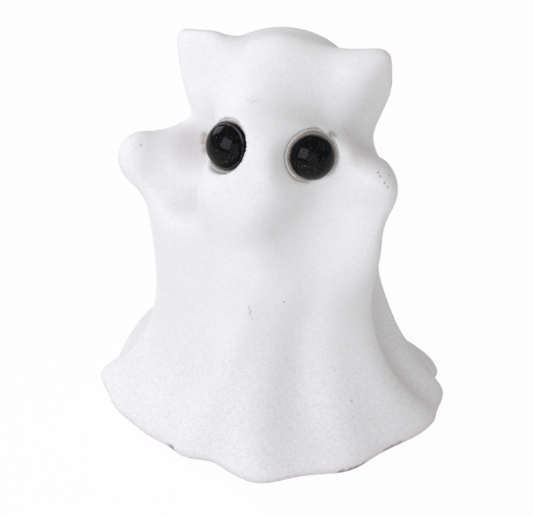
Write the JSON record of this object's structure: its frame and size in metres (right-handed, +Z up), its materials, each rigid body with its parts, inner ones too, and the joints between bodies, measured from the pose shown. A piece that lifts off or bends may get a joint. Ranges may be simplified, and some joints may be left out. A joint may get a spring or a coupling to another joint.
{
  "type": "ghost cat carving",
  "caption": "Small white stone carving of a cat under a flowing ghost sheet, arms raised, with domed black eyes glued into drilled sockets.",
  "frame": {"origin": "middle of the flat base, on the surface it stands on", "axes": "+Z up from the base to the ears, -Y out of the front of the cat, +X to the viewer's right when facing it"},
  "size_m": [0.0458, 0.0411, 0.0544],
  "materials": {
    "stone": "fine ground, slightly sugary satin",
    "black_bead": "polished black",
    "adhesive": "set clear adhesive darkened by dust"
  },
  "bodies": {
    "root": {"stone_body": "stone", "left_glue_bed": "adhesive", "left_eye": "black_bead", "right_glue_bed": "adhesive", "right_eye": "black_bead"}
  },
  "joints": []
}
